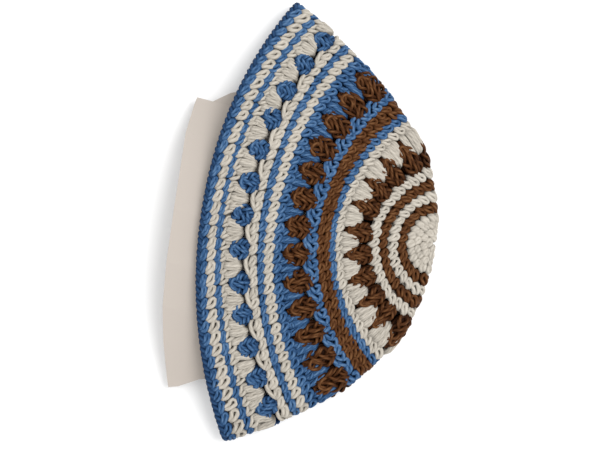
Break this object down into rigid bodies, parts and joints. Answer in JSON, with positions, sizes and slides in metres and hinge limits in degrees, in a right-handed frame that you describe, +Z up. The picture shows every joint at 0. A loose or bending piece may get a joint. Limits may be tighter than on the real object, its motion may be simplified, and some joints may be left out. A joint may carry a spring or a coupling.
{
  "type": "crocheted kippah skullcap on a card insert",
  "caption": "Deep crocheted skullcap with striped plain rounds, bobble and fan rounds and lace gaps, lying on its side over a bent card that holds its opening apart.",
  "frame": {"origin": "under the middle of the whole, on the surface that the cap lies on", "axes": "+X from the opening towards the crown, +Y along the opening, +Z up from the surface"},
  "size_m": [0.1506, 0.2502, 0.0384],
  "materials": {
    "white_yarn": "soft off-white cotton yarn",
    "blue_yarn": "soft denim blue cotton yarn",
    "brown_yarn": "soft mid-brown cotton yarn",
    "card": "plain matt off-white card"
  },
  "bodies": {
    "root": {"crown_disc_white": "white_yarn", "crown_ring_brown_inner": "brown_yarn", "crown_ring_white_inner": "white_yarn", "crown_ring_brown_outer": "brown_yarn", "crown_ring_white_outer": "white_yarn", "bobbles_brown_inner": "brown_yarn", "fans_white_inner": "white_yarn", "middle_ring_blue_inner": "blue_yarn", "middle_ring_brown": "brown_yarn", "middle_ring_blue_outer": "blue_yarn", "bobbles_brown_outer": "brown_yarn", "fans_blue": "blue_yarn", "lower_ring_white_inner": "white_yarn", "lower_ring_blue": "blue_yarn", "lower_ring_white_outer": "white_yarn", "bobbles_blue": "blue_yarn", "fans_white_outer": "white_yarn", "rim_ring_blue": "blue_yarn", "rim_ring_white": "white_yarn", "rim_edge_blue": "blue_yarn", "card_insert": "card"}
  },
  "joints": []
}
